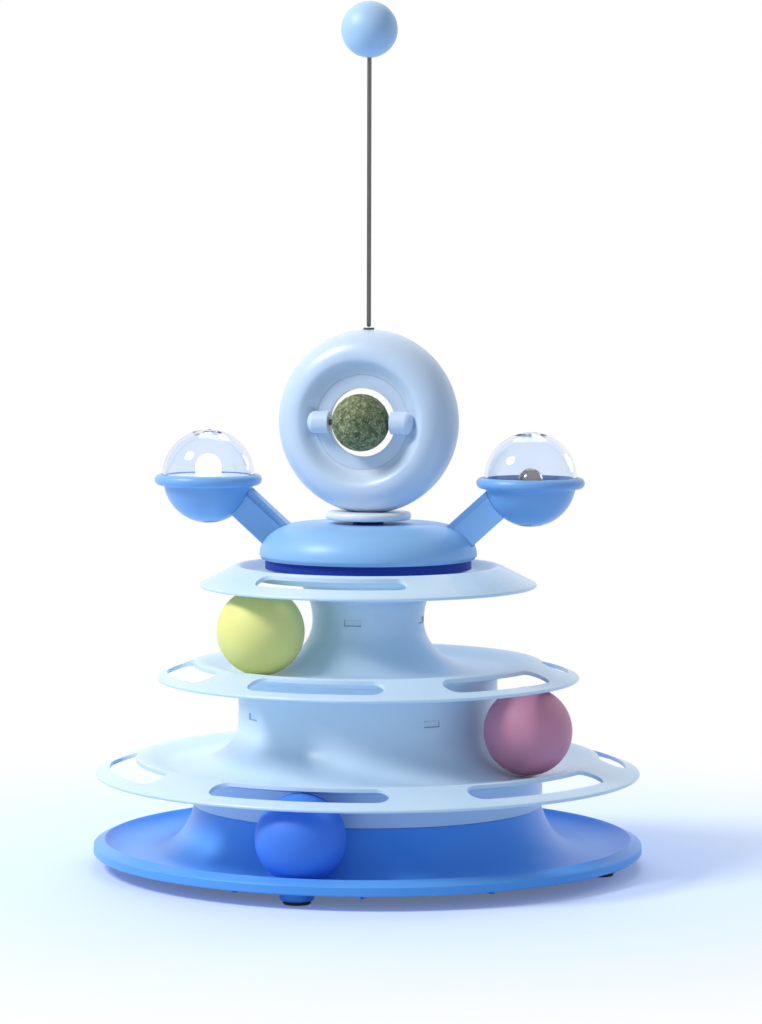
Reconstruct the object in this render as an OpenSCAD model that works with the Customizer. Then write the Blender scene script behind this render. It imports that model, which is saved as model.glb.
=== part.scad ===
// Cat ball track toy: a dished base and three stacked tray levels with a ball in each track,
// a spinning two-armed hub with domed cups, and a fixed ring with a catnip ball and a wand.
// Millimetres, +Z up. The origin lies on the tower's axis, at the underside of the feet.
// The toy's front faces -Y. Revolved outlines are drawn as [radius, height] points.

/* [Base] */
// Height of the base's underside above the floor
foot_h = 5.1; // [4.6:0.1:8]
// Depth of the base's track below its crest
base_track_depth = 5.6; // [4.5:0.1:7]
// Room between the base's column and the ball on the base
base_room = 6.35; // [6:0.05:8]
// Distance from the outer side of the ball on the base to the base's edge
base_edge_w = 1.75; // [1:0.05:6]
// What the base's column is lower than two radii of a ball
base_col_short = 1.8; // [1:0.1:2]
// Distance of the base's column inside the lower tray's ball path
base_col_back = 6.6; // [6.2:0.1:7.4]
// Wall thickness of the base
base_wall = 2.2; // [2:0.1:2.4]
// Number of feet
foot_count = 4; // [3:1:6]

/* [Trays] */
// Narrowest outer radius of the middle tray's column
middle_col_r = 25.4; // [24.4:0.1:26.4]
// Room between the middle tray's column and the ball on the middle tray
middle_room = 10.85; // [10:0.05:12]
// Distance of the lower tray's column outside the middle tray's ball path
lower_col_out = 3; // [2.4:0.1:4]
// Room between the lower tray's column and the ball on the lower tray
lower_room = 5.25; // [4.8:0.05:6]
// Width of the lower tray from its ball path to its crest
lower_crest_w = 19.6; // [19:0.1:20.4]
// Width of the lower tray's flange
lower_flange_w = 20.3; // [18:0.1:21]
// Width of the middle tray from its ball path to its crest
middle_crest_w = 20.8; // [20:0.1:21.6]
// Width of the middle tray's flange
middle_flange_w = 19.4; // [18:0.1:21]
// Distance of the top tray's crest outside the middle tray's column
top_crest_w = 33.9; // [33:0.1:35]
// Width of the top tray's flange
top_flange_w = 17.4; // [16:0.1:19]
// Track depth of the lower tray
lower_track_depth = 3.3; // [2.8:0.1:4.2]
// Track depth of the middle tray
middle_track_depth = 4.2; // [3.4:0.1:5]
// Depth of the top tray's recess
top_recess_depth = 4; // [3:0.1:4.4]
// Fall of the lower and the middle flange from the crest to the lowest point of the rim
flange_fall = 8.4; // [7.6:0.1:8.8]
// Fall of the top flange
top_flange_fall = 9.7; // [8.4:0.1:10.4]
// Height of the lower tray's column above the ball in its track
lower_head = 1.1; // [0.8:0.1:4]
// Height of the top tray's underside above the ball in the middle track
middle_head = 2.1; // [1.6:0.1:4.6]
// Height of the neck under the top tray
top_neck_h = 10.2; // [9.4:0.1:12]
// Number of slots in the lower and in the middle flange
slot_count = 6; // [4:1:6]
// Angle that one of these slots covers, with its round ends
slot_span = 42; // [30:1:46]
// Angle that each of the top tray's two slots covers
top_slot_span = 62; // [40:1:80]
// Wall thickness of the base and the trays
wall = 2; // [1.8:0.1:2.3]

/* [Balls] */
// Radius of a track ball
ball_r = 19.75; // [19:0.05:19.9]
// Wall thickness of a hollow track ball
ball_wall = 1.8; // [1.2:0.1:2.5]
// Angle of the middle tray's ball round the tower from the front
middle_ball_angle = -43; // [-90:1:0]
// Angle of the lower tray's ball round the tower from the front
lower_ball_angle = 74; // [30:1:110]

/* [Hub] */
// Largest radius of the hub
hub_r = 49.5; // [48.5:0.1:51]
// Height of the hub
hub_h = 16; // [15.6:0.1:17.6]
// Height of the hub's lower edge above the top tray's floor
hub_lift = 7; // [6.6:0.1:9]
// Turn of the hub where it stopped
hub_turn = 8; // [-40:1:40]
// Radius of the spindle that the hub turns on
spindle_r = 7; // [6.5:0.1:7.5]

/* [Arms and cups] */
// Distance of a cup's axis from the tower's axis
cup_reach = 73.9; // [73:0.1:76]
// Height of a cup's rim above the hub's lower edge
cup_rise = 35.1; // [34.4:0.1:36]
// Outer radius of a cup's bowl
bowl_r = 20.6; // [20.2:0.1:21]
// Outer radius of the bead round a cup's rim
bead_r = 24.5; // [24.1:0.1:25.5]
// Outer radius of a clear dome
dome_r = 21; // [20.7:0.1:21.3]
// Slope of an arm above the horizontal
arm_slope = 42.3; // [41.5:0.1:43]
// Depth of an arm's section, square to its slope
arm_depth = 14.3; // [13.5:0.1:15]
// Width of an arm
arm_w = 12; // [10:0.5:14]
// Radius of the bell
bell_r = 5.65; // [5.2:0.05:6]
// Radius of the white light ball
light_r = 6.1; // [5.5:0.1:7]

/* [Ring] */
// Outer radius of the ring
ring_r = 41.8; // [41:0.1:43]
// Thickness of the ring from front to back
ring_t = 31; // [30:0.5:33]
// Radius of the opening through the ring
ring_bore_r = 21.5; // [21:0.1:22]
// Radius of the hole in the catnip ball's holder
holder_hole_r = 15.45; // [14.6:0.05:15.9]
// Radius of the catnip ball
catnip_r = 13.15; // [12:0.05:13.6]
// Distance of the catnip ball's axle in front of the ring's middle
catnip_out = 13; // [12.6:0.1:13.6]
// Radius of the collar under the ring
collar_r = 19.5; // [18.8:0.1:20.5]

/* [Wand] */
// Length of the wand wire from its foot to the middle of its ball
wand_len = 132.9; // [90:0.5:160]
// Radius of the wand wire
wire_r = 1; // [0.8:0.05:1.2]
// Radius of the wand's ball
wand_ball_r = 12.75; // [10:0.25:15]

/* [Fits] */
// Gap between pieces that move past each other
run_gap = 0.3; // [0.2:0.05:0.4]
// Radial clearance of a shaft that turns in its bore
shaft_gap = 0.06; // [0.03:0.01:0.09]
// Gap between pieces that are seated or clipped together
seat_gap = 0.2; // [0.12:0.02:0.26]
// Gap between the hub's top and the collar above it
collar_gap = 1.8; // [1.2:0.05:2.2]

/* [Hidden] */
$fn = 96;

// Overrun of every cut past the face that it opens
over = 1;
// Points along a curved stretch of an outline
curve_n = 14;
short_n = 8;
ring_in_n = 5;
crest_n = 3;
lip_n = 6;

// Radii of the tower, each from the piece inside it
middle_path_r = middle_col_r + ball_r + middle_room;
middle_crest_r = middle_path_r + middle_crest_w;
middle_r = middle_crest_r + middle_flange_w;
top_crest_r = middle_col_r + top_crest_w;
top_r = top_crest_r + top_flange_w;
lower_col_r = middle_path_r + lower_col_out;
lower_path_r = lower_col_r + ball_r + lower_room;
lower_crest_r = lower_path_r + lower_crest_w;
lower_r = lower_crest_r + lower_flange_w;
base_col_r = lower_path_r - base_col_back;
base_path_r = base_col_r + ball_r + base_room;
base_r = base_path_r + ball_r + base_edge_w;

// Heights of the tower, each from the piece below
base_col_h = 2 * ball_r - base_col_short;
lower_col_h = 2 * ball_r + lower_head;
middle_col_h = 2 * ball_r + middle_head - top_neck_h;
base_floor_z = foot_h + base_wall;
base_crest_z = base_floor_z + base_track_depth;
base_col_top = base_floor_z + base_col_h;
lower_floor_z = base_col_top + wall;
lower_crest_z = lower_floor_z + lower_track_depth;
lower_col_top = lower_floor_z + lower_col_h;
middle_floor_z = lower_col_top + wall;
middle_crest_z = middle_floor_z + middle_track_depth;
middle_col_top = middle_floor_z + middle_col_h;
top_under_z = middle_col_top + top_neck_h;
top_floor_z = top_under_z + wall;
top_crest_z = top_floor_z + top_recess_depth;
hub_z = top_floor_z + hub_lift;
hub_top_z = hub_z + hub_h;
cup_z = hub_z + cup_rise;

// Base: the hooked lip round its edge, the flare up to the shoulder, the column above it
lip_fall = 2;
lip_w = 5.1;
lip_bevel = 0.6;
lip_side_h = 3.2;
lip_hook_h = 2.9;
lip_in_r = base_r - lip_w;
lip_top_z = base_crest_z - lip_fall;
lip_low_z = lip_top_z - 2 * lip_bevel - lip_side_h;
base_flat_back = 3.5;
base_flat_w = 7;
base_flat_in = base_path_r - base_flat_back;
base_flat_out = base_flat_in + base_flat_w;
base_rise_h = 10;
base_rise_turn = asin((base_rise_h - base_track_depth) / base_rise_h);
base_rise_w = (lip_in_r - base_flat_out) / cos(base_rise_turn);
base_under_turn = 35;
base_waist = 0.6;
base_flare_w = base_flat_in - base_col_r - base_waist;
base_flare_drop = 7;
base_flare_h = base_col_h - base_flare_drop;
base_flare_z = base_floor_z + base_flare_h;
base_flare_thick = base_wall + 2 * base_waist;
shoulder_drop = 16.5;
shoulder_h = base_col_h - shoulder_drop;
shoulder_z = base_floor_z + shoulder_h;
base_col_in = base_col_r - base_wall;

// Feet: bosses under the base with a rubber pad plugged into each, and ribs between them
foot_out = 5.2;
foot_path_r = base_path_r + foot_out;
foot_boss_r = 7.5;
foot_boss_lift = 1.6;
foot_boss_skin = 0.1;
pad_r = 6.1;
pad_h = 2;
pad_bevel = 0.5;
plug_r = 2.6;
plug_h = 2.2;
rib_count = 12;
rib_w = 1.6;
rib_drop = 1.8;
rib_back = 8.5;
rib_len = 17;
rib_in = base_path_r - rib_back;
rib_out = rib_in + rib_len;

// Flares of the trays, from the column down to the flat of the track
lower_flat_w = 5;
lower_flat_out = lower_path_r + lower_flat_w;
lower_flare_h = 19;
lower_flare_z = lower_floor_z + lower_flare_h;
lower_col_in = lower_col_r - wall;
middle_flat_back = 1;
middle_flat_w = 6;
middle_flat_in = middle_path_r - middle_flat_back;
middle_flat_out = middle_flat_in + middle_flat_w;
neck_rise = 19.2;
middle_flare_h = middle_col_h + top_neck_h - neck_rise;
middle_flare_z = middle_floor_z + middle_flare_h;
middle_bore_r = middle_col_r - wall;

// Neck: one curve that runs from the middle column's waist to the top tray's underside
neck_w = 13;
neck_h = 20;
neck_c_r = middle_col_r + neck_w;
neck_joint_turn = asin((middle_col_top - middle_flare_z) / neck_h);
neck_top_turn = asin((top_under_z - middle_flare_z) / neck_h);
neck_in_turn = asin((middle_col_top - middle_flare_z) / (neck_h + wall));
neck_in_top_turn = asin((top_under_z - middle_flare_z) / (neck_h + wall));
recess_w = 6;
top_flat_r = top_crest_r - recess_w;

// Section of a flange: a straight cone between a round crest and a round lip
crest_round = 4;
flange_wall = 1.7;
lip_round = flange_wall / 2;

// Slots through the flanges
lower_slot_edge = 1.8;
middle_slot_edge = 2.3;
top_slot_edge = 2.8;
lower_slot_margin = 6.4;
middle_slot_margin = 4.8;
top_slot_margin = 6.2;
top_slot_count = 2;

// Plug-in joints between the levels: skirt or plug, windows and the tabs that snap into them
clip_count = 4;
window_w = 8;
window_h = 2.9;
tab_w = window_w - 2 * seat_gap;
tab_h = window_h - 2 * seat_gap;
tab_back = 0.9;
skirt_in_r = base_col_r + seat_gap;
skirt_out_r = skirt_in_r + wall;
skirt_z = shoulder_z + seat_gap;
skirt_clip_z = skirt_z + 2.5 * window_h;
land_turn = asin((lower_path_r - base_col_in) / (lower_path_r - lower_col_in));
plug_wall = 2.2;
middle_plug_r = lower_col_in - seat_gap;
middle_plug_in = middle_plug_r - plug_wall;
middle_plug_len = 19.6;
middle_plug_z = lower_col_top - middle_plug_len;
middle_clip_z = middle_plug_z + window_h;
top_plug_r = middle_bore_r - seat_gap;
top_plug_in = top_plug_r - plug_wall;
top_plug_len = 13;
top_plug_z = middle_col_top - top_plug_len;
top_clip_z = top_plug_z + 1.7 * window_h;

// Screws, shared sizes
screw_r = 1.5;
screw_head_r = 2.7;
screw_head_h = 1.6;
screw_slot_w = 0.8;
screw_hole_r = screw_r + seat_gap / 2;

// Spindle: flange screwed to the top tray, shaft, blind hole for the collar screw
flange_r = 20;
flange_t = 3;
flange_top_z = top_floor_z + flange_t;
flange_screw_path = 15.6;
flange_screw_count = 3;
flange_screw_len = 7;
boss_r = 3.3;
boss_h = 5.4;
washer_h = 1.2;
washer_out_r = 12;
washer_gap = 0.1;
collar_z = hub_top_z + collar_gap;

// Hub: domed shell with a sleeve on the spindle, arm slots, posts and a plate under it
hub_edge_in = 1.2;
hub_edge_h = 1.6;
hub_belly_z = hub_z + hub_edge_h;
hub_flat_r = 31;
hub_wall = 2.4;
hub_in_r = hub_r - hub_wall;
sleeve_wall = 2.5;
sleeve_in_r = spindle_r + shaft_gap;
sleeve_r = sleeve_in_r + sleeve_wall;
sleeve_z = flange_top_z + washer_h + seat_gap;
post_path = 29;
post_r = 3.5;
post_count = 4;
post_turn = 45;
plate_t = 2;
plate_top_z = hub_z + plate_t;
plate_r = hub_in_r - seat_gap;
plate_skirt_w = 2.2;
plate_skirt_h = 4.4;
hub_screw_len = 8;

// Arms: a bar with a narrower strip along its top, a root inside the hub and a peg in the cup
arm_low = 4.3;
strip_h = 3;
strip_w = 9.4;
arm_root_r = 34;
arm_root_z = plate_top_z + seat_gap;
arm_len = (cup_reach - arm_root_r) / cos(arm_slope);
peg_r = 3;
peg_in = 0.6;

// Cups, heights measured from the rim
bowl_up = 0.8;
bowl_wall = 1.6;
bowl_z = cup_z + bowl_up;
bead_tube_r = 2.5;
bead_c_r = bead_r - bead_tube_r;
bead_groove_z = -3.5;
cup_in_r = dome_r + run_gap;
ledge_z = -1.4;
insert_t = 1;
insert_r = cup_in_r - seat_gap;
insert_top_z = ledge_z + insert_t;
cavity_r = bowl_r - bowl_wall;
ledge_turn = asin((bowl_up - ledge_z) / cavity_r);
groove_turn = asin((bowl_up - bead_groove_z) / bowl_r);
bead_end_turn = acos((cup_in_r - bead_c_r) / bead_tube_r);
bead_start_turn = -120;

// Kidney vents and pin holes at a pole
vent_in = 5.4;
vent_out = 6.9;
vent_span = 80;
vent_count = 3;
vent_depth = 4;
pin_hole_r = 0.9;
pin_hole_path = 2.4;

// Domes
dome_up = 2;
dome_wall = 1.2;
dome_foot_z = insert_top_z + run_gap;

// Bell dish, bell and pea
dish_curve_r = 54;
dish_floor_z = -4.95;
dish_c_z = dish_floor_z + dish_curve_r;
dish_r = 17.4;
dish_under_r = 18.4;
dish_turn = asin(dish_r / dish_curve_r);
dish_under_turn = asin(dish_under_r / (dish_curve_r + insert_t));
bell_wall = 0.5;
bell_z = dish_floor_z + run_gap + bell_r;
bell_slot_h = 1.1;
bell_slot_reach = 4;
bell_eye_r = 0.9;
pea_r = 1.7;
pea_drop = bell_r - bell_wall - run_gap - pea_r;

// Light unit
light_base_r = 19.2;
light_base_h = 2.1;
light_base_round = 0.6;
light_sink = 0.2;
light_z = light_base_h + light_r - light_sink;

// Ring: two moulded halves that meet at its middle, a funnel to its opening, a lip for the holder
ring_sink = 2.7;
seam_turn = 45;
ring_z = collar_z + ring_sink + ring_r;
ring_side_w = 12.3;
ring_wall = 2;
ring_core_r = ring_r - ring_side_w;
ring_half = ring_t / 2;
lip_ring_w = 1.7;
lip_ring_t = 2;
holder_d = 7.5;
holder_t = 3;
holder_r = ring_bore_r - seat_gap;
funnel_d = holder_d + holder_t;
ear_r = 4.9;
ear_in = 14.4;
ear_len = 10.4;
ear_round = 3;
pocket_wall = 1.6;
axle_r = 1.2;
axle_half = 19.8;

// Collar and the neck that the ring is clamped round
collar_h = 3.6;
collar_round = 1.4;
cradle_r = ring_half * ring_half / ring_side_w;
neck_post_r = 6;
neck_head_r = 8.4;
neck_head_z = 7.2;
neck_head_h = 2;
counterbore_r = 3.4;
counterbore_z = 5;
collar_screw_len = 13;
collar_screw_head_r = 3;

// Wand: grommet in the ring's top, round foot of the wire just above it
grommet_r = 2.5;
grommet_proud = 0.7;
grommet_len = 8;
grommet_head_r = 4;
grommet_head_drop = 4.1;
grommet_head_t = 1.4;
grommet_top_z = ring_z + ring_r + grommet_proud;
wire_foot_z = grommet_top_z + run_gap + wire_r;
wand_ball_z = wire_foot_z + wand_len;

// Colours
base_tint = "#3d8fe6";
tray_tint = "#e4edf8";
hub_tint = "#4a80d4";
ring_tint = "#c9d3ee";

// Points of an ellipse about [cr, cz], half axes a and b, from angle t0 to t1
function bow(cr, cz, a, b, t0, t1, n) =
    [for (i = [0:n]) let (t = t0 + (t1 - t0) * i / n) [cr + a * cos(t), cz + b * sin(t)]];

// The same without its first point, to carry on from the stretch before
function bow_on(cr, cz, a, b, t0, t1, n) =
    [for (i = [1:n]) let (t = t0 + (t1 - t0) * i / n) [cr + a * cos(t), cz + b * sin(t)]];

// Points between [r0, z0] and [r1, z1] on a smooth step that is level at both ends
function swell(r0, z0, r1, z1, n) =
    [for (i = [1:n - 1]) let (t = i / n) [r0 + (r1 - r0) * t, z0 + (z1 - z0) * t * t * (3 - 2 * t)]];

// Slope of a flange whose cone touches its round crest and its round lip
function flange_slope(w, fall) =
    let (dr = w - lip_round, dz = fall - lip_round - crest_round)
    atan2(dz, dr) + asin((crest_round - lip_round) / norm([dr, dz]));

// Upper side of a tray from the flare's top round the lip to the flange's underside
function tray_top(col_r, flare_z, flat_in, flat_out, floor_z, crest_r, crest_z, w, fall) =
    concat(bow(flat_in, flare_z, flat_in - col_r, flare_z - floor_z, 180, 270, curve_n),
           flange_top(flat_out, floor_z, crest_r, crest_z, w, fall));

// Upper side of the stretch from the flat over the crest, down the cone and round the lip
function flange_top(flat_out, floor_z, crest_r, crest_z, w, fall) =
    let (slope = flange_slope(w, fall))
    concat([[flat_out, floor_z]],
           swell(flat_out, floor_z, crest_r, crest_z, short_n),
           bow(crest_r, crest_z - crest_round, crest_round, crest_round, 90, 90 - slope, crest_n),
           bow(crest_r + w - lip_round, crest_z - fall + lip_round, lip_round, lip_round,
               90 - slope, -90 - slope, lip_n));

// Underside of the same stretch, back from the crest to the flat
function flange_under(flat_out, floor_z, crest_r, crest_z, w, fall) =
    let (slope = flange_slope(w, fall), under_round = crest_round - flange_wall)
    concat(bow(crest_r, crest_z - crest_round, under_round, under_round, 90 - slope, 90, crest_n),
           swell(crest_r, crest_z - flange_wall, flat_out, floor_z - wall, short_n),
           [[flat_out, floor_z - wall]]);

// Copies round the tower's axis of a child that lies along +X, from an angle off the front
module around(n, from) {
    for (k = [0:n - 1]) rotate([0, 0, from - 90 + 360 * k / n]) children();
}

// A block along +X between two radii
module block(r_in, r_out, w, h, z) {
    translate([r_in, -w / 2, z - h / 2]) cube([r_out - r_in, w, h]);
}

// A curved slot with round ends, centred on +X
module curved_slot(r_in, r_out, span, z_low, z_high) {
    mid_r = (r_in + r_out) / 2;
    end_r = (r_out - r_in) / 2;
    sweep = span - 2 * asin(end_r / mid_r);
    rotate([0, 0, -sweep / 2]) {
        rotate_extrude(angle = sweep)
            polygon([[r_in, z_low], [r_out, z_low], [r_out, z_high], [r_in, z_high]]);
        for (side = [0, 1]) rotate([0, 0, side * sweep])
            translate([mid_r, 0, z_low]) cylinder(r = end_r, h = z_high - z_low);
    }
}

// Slots through a flange
module flange_slots(n, in_r, out_r, span, crest_z, fall) {
    around(n, 0) curved_slot(in_r, out_r, span, crest_z - fall, crest_z + over);
}

// Three kidney vents round a pole
module vents(z) {
    for (k = [0:vent_count - 1]) rotate([0, 0, 360 * k / vent_count - vent_span / 2])
        rotate_extrude(angle = vent_span)
            polygon([[vent_in, z], [vent_out, z], [vent_out, z + vent_depth], [vent_in, z + vent_depth]]);
}

// A screw with its head's seat at the origin and its shank pointing down
module screw(head_r, length) {
    difference() {
        union() {
            cylinder(r = head_r, h = screw_head_h);
            translate([0, 0, -length]) cylinder(r = screw_r, h = length + screw_head_h / 2);
        }
        translate([-head_r, -screw_slot_w / 2, screw_head_h / 2])
            cube([2 * head_r, screw_slot_w, screw_head_h]);
    }
}

// A hollow track ball standing in its track at an angle off the front
module track_ball(path_r, turn, floor_z) {
    rotate([0, 0, turn - 90]) translate([path_r, 0, floor_z + run_gap + ball_r]) difference() {
        sphere(r = ball_r);
        sphere(r = ball_r - ball_wall);
    }
}

module base_tray() {
    outline = concat(
        [[base_col_in, base_col_top], [base_col_r, base_col_top], [base_col_r, shoulder_z]],
        bow(base_flat_in, base_flare_z, base_flare_w, base_flare_h,
            180 + asin((base_flare_h - shoulder_h) / base_flare_h), 270, curve_n),
        bow(base_flat_out, base_floor_z + base_rise_h, base_rise_w, base_rise_h,
            270, 360 - base_rise_turn, short_n),
        [[base_r - lip_bevel, lip_top_z], [base_r, lip_top_z - lip_bevel], [base_r, lip_low_z + lip_bevel],
         [base_r - lip_bevel, lip_low_z], [base_r - base_wall, lip_low_z],
         [base_r - base_wall, lip_low_z + lip_hook_h]],
        bow(base_flat_out, base_floor_z + base_rise_h, base_rise_w + base_wall, base_rise_h + base_wall,
            360 - base_under_turn, 270, short_n),
        bow(base_flat_in, base_flare_z, base_flare_w + base_flare_thick, base_flare_h + base_wall,
            270, 180 + acos((base_flat_in - base_col_in) / (base_flare_w + base_flare_thick)), curve_n));
    color(base_tint) difference() {
        union() {
            rotate_extrude() polygon(outline);
            around(foot_count, 0) translate([foot_path_r, 0, foot_boss_lift])
                cylinder(r = foot_boss_r, h = base_floor_z - foot_boss_skin - foot_boss_lift);
            around(rib_count, 180 / rib_count) translate([rib_in, -rib_w / 2, foot_h - rib_drop])
                cube([rib_out - rib_in, rib_w, rib_drop + base_wall / 2]);
        }
        around(foot_count, 0) translate([foot_path_r, 0, 0]) {
            cylinder(r = pad_r + seat_gap, h = pad_h);
            cylinder(r = plug_r + seat_gap, h = pad_h + plug_h + seat_gap);
        }
        around(clip_count, 180 / clip_count)
            block(base_col_in - over, base_col_r + over, window_w, window_h, skirt_clip_z);
    }
}

module rubber_feet() {
    color("#23262b") around(foot_count, 0) translate([foot_path_r, 0, 0]) rotate_extrude()
        polygon([[0, 0], [pad_r - pad_bevel, 0], [pad_r, pad_bevel], [pad_r, pad_h],
                 [plug_r, pad_h], [plug_r, pad_h + plug_h], [0, pad_h + plug_h]]);
}

module lower_tray() {
    outline = concat(
        [[lower_col_r, lower_col_top]],
        tray_top(lower_col_r, lower_flare_z, lower_path_r, lower_flat_out, lower_floor_z,
                 lower_crest_r, lower_crest_z, lower_flange_w, flange_fall),
        flange_under(lower_flat_out, lower_floor_z, lower_crest_r, lower_crest_z, lower_flange_w, flange_fall),
        [[skirt_out_r, base_col_top], [skirt_out_r, skirt_z], [skirt_in_r, skirt_z],
         [skirt_in_r, base_col_top], [base_col_in, base_col_top]],
        bow(lower_path_r, lower_flare_z, lower_path_r - lower_col_in, lower_flare_h + wall,
            270 - land_turn, 180, curve_n),
        [[lower_col_in, lower_col_top]]);
    color(tray_tint) difference() {
        union() {
            rotate_extrude() polygon(outline);
            around(clip_count, 180 / clip_count)
                block(base_col_in + tab_back, skirt_in_r + wall / 2, tab_w, tab_h, skirt_clip_z);
        }
        flange_slots(slot_count, lower_crest_r + lower_slot_edge, lower_r - lower_slot_margin, slot_span,
                     lower_crest_z, flange_fall);
        around(clip_count, 180 / clip_count)
            block(lower_col_in - over, lower_col_r + over, window_w, window_h, middle_clip_z);
    }
}

module middle_tray() {
    outline = concat(
        [[middle_bore_r, middle_col_top]],
        bow(neck_c_r, middle_flare_z, neck_w, neck_h, 180 - neck_joint_turn, 180, short_n),
        bow_on(middle_flat_in, middle_flare_z, middle_flat_in - middle_col_r, middle_flare_h,
               180, 270, curve_n),
        flange_top(middle_flat_out, middle_floor_z, middle_crest_r, middle_crest_z, middle_flange_w, flange_fall),
        flange_under(middle_flat_out, middle_floor_z, middle_crest_r, middle_crest_z, middle_flange_w, flange_fall),
        [[middle_plug_r, lower_col_top], [middle_plug_r, middle_plug_z], [middle_plug_in, middle_plug_z]],
        bow(middle_flat_in, middle_flare_z, middle_flat_in - middle_bore_r, middle_flare_h + wall,
            270 - asin((middle_flat_in - middle_plug_in) / (middle_flat_in - middle_bore_r)), 180, curve_n));
    color(tray_tint) difference() {
        union() {
            rotate_extrude() polygon(outline);
            around(clip_count, 180 / clip_count)
                block(middle_plug_r - plug_wall / 2, lower_col_r - tab_back, tab_w, tab_h, middle_clip_z);
        }
        flange_slots(slot_count, middle_crest_r + middle_slot_edge, middle_r - middle_slot_margin, slot_span,
                     middle_crest_z, flange_fall);
        around(clip_count, 0)
            block(middle_bore_r - over, middle_col_r + over, window_w, window_h, top_clip_z);
    }
}

module top_tray() {
    outline = concat(
        [[0, top_floor_z]],
        flange_top(top_flat_r, top_floor_z, top_crest_r, top_crest_z, top_flange_w, top_flange_fall),
        flange_under(top_flat_r, top_floor_z, top_crest_r, top_crest_z, top_flange_w, top_flange_fall),
        bow(neck_c_r, middle_flare_z, neck_w, neck_h, 180 - neck_top_turn, 180 - neck_joint_turn, short_n),
        bow(neck_c_r, middle_flare_z, neck_w + wall, neck_h + wall,
            180 - neck_in_turn, 180 - neck_in_top_turn, short_n),
        [[top_plug_r, top_under_z], [top_plug_r, top_plug_z], [top_plug_in, top_plug_z],
         [top_plug_in, top_under_z], [0, top_under_z]]);
    color(tray_tint) difference() {
        union() {
            rotate_extrude() polygon(outline);
            around(clip_count, 0)
                block(top_plug_r - plug_wall / 2, middle_col_r - tab_back, tab_w, tab_h, top_clip_z);
            around(flange_screw_count, 0) translate([flange_screw_path, 0, top_under_z - boss_h])
                cylinder(r = boss_r, h = boss_h + wall / 2);
        }
        flange_slots(top_slot_count, top_crest_r + top_slot_edge, top_r - top_slot_margin, top_slot_span,
                     top_crest_z, top_flange_fall);
        around(flange_screw_count, 0) translate([flange_screw_path, 0, top_under_z - boss_h / 2])
            cylinder(r = screw_hole_r, h = boss_h + wall);
    }
}

module base_ball() {
    color("#2f62d8") track_ball(base_path_r, 0, base_floor_z);
}

module lower_ball() {
    color("#b98ba4") track_ball(lower_path_r, lower_ball_angle, lower_floor_z);
}

module middle_ball() {
    color("#c3cf3a") track_ball(middle_path_r, middle_ball_angle, middle_floor_z);
}

module spindle() {
    outline = [[0, top_floor_z], [flange_r, top_floor_z], [flange_r, flange_top_z],
               [spindle_r, flange_top_z], [spindle_r, collar_z], [0, collar_z]];
    color("#eef1f4") difference() {
        rotate_extrude() polygon(outline);
        around(flange_screw_count, 0) translate([flange_screw_path, 0, top_floor_z - over])
            cylinder(r = screw_hole_r, h = flange_t + 2 * over);
        translate([0, 0, collar_z + counterbore_z - collar_screw_len - seat_gap])
            cylinder(r = screw_hole_r, h = collar_screw_len);
    }
}

module spindle_screws() {
    color("#9aa0a8") around(flange_screw_count, 0) translate([flange_screw_path, 0, flange_top_z])
        screw(screw_head_r, flange_screw_len);
}

module thrust_washer() {
    color("#f4f4f0") rotate_extrude()
        polygon([[spindle_r + washer_gap, flange_top_z], [washer_out_r, flange_top_z],
                 [washer_out_r, flange_top_z + washer_h], [spindle_r + washer_gap, flange_top_z + washer_h]]);
}

// The straight bar of an arm, or the room that it takes with a gap round it
module arm_bar(gap) {
    translate([cup_reach, 0, bowl_z]) rotate([0, -arm_slope, 0]) {
        translate([-arm_len, -arm_w / 2 - gap, -arm_low - gap])
            cube([arm_len, arm_w + 2 * gap, arm_depth - strip_h + 2 * gap]);
        translate([-arm_len, -strip_w / 2 - gap, -arm_low])
            cube([arm_len, strip_w + 2 * gap, arm_depth + gap]);
    }
}

module hub_shell() {
    outline = concat(
        [[sleeve_in_r, hub_top_z]],
        bow(hub_flat_r, hub_belly_z, hub_r - hub_flat_r, hub_top_z - hub_belly_z, 90, 0, curve_n),
        [[hub_r - hub_edge_in, hub_z], [hub_in_r, hub_z]],
        bow(hub_flat_r, hub_belly_z, hub_in_r - hub_flat_r, hub_top_z - hub_wall - hub_belly_z, 0, 90, curve_n),
        [[sleeve_r, hub_top_z - hub_wall], [sleeve_r, sleeve_z], [sleeve_in_r, sleeve_z]]);
    color(hub_tint) rotate([0, 0, hub_turn]) difference() {
        union() {
            rotate_extrude() polygon(outline);
            for (k = [0:post_count - 1]) rotate([0, 0, post_turn + 360 * k / post_count])
                translate([post_path, 0, plate_top_z])
                    cylinder(r = post_r, h = hub_top_z - hub_wall / 2 - plate_top_z);
        }
        for (side = [0, 180]) rotate([0, 0, side]) intersection() {
            arm_bar(seat_gap);
            translate([arm_root_r - seat_gap, -arm_w, arm_root_z - seat_gap])
                cube([cup_reach, 2 * arm_w, cup_z - hub_z]);
        }
        for (k = [0:post_count - 1]) rotate([0, 0, post_turn + 360 * k / post_count])
            translate([post_path, 0, hub_z]) cylinder(r = screw_hole_r, h = hub_screw_len + seat_gap);
    }
}

module hub_plate() {
    color(hub_tint) rotate([0, 0, hub_turn]) difference() {
        rotate_extrude() polygon([[sleeve_r + seat_gap, hub_z], [plate_r - plate_skirt_w, hub_z],
                                  [plate_r - plate_skirt_w, hub_z - plate_skirt_h],
                                  [plate_r, hub_z - plate_skirt_h], [plate_r, plate_top_z],
                                  [sleeve_r + seat_gap, plate_top_z]]);
        for (k = [0:post_count - 1]) rotate([0, 0, post_turn + 360 * k / post_count])
            translate([post_path, 0, hub_z - over]) cylinder(r = screw_hole_r, h = plate_t + 2 * over);
    }
}

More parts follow.
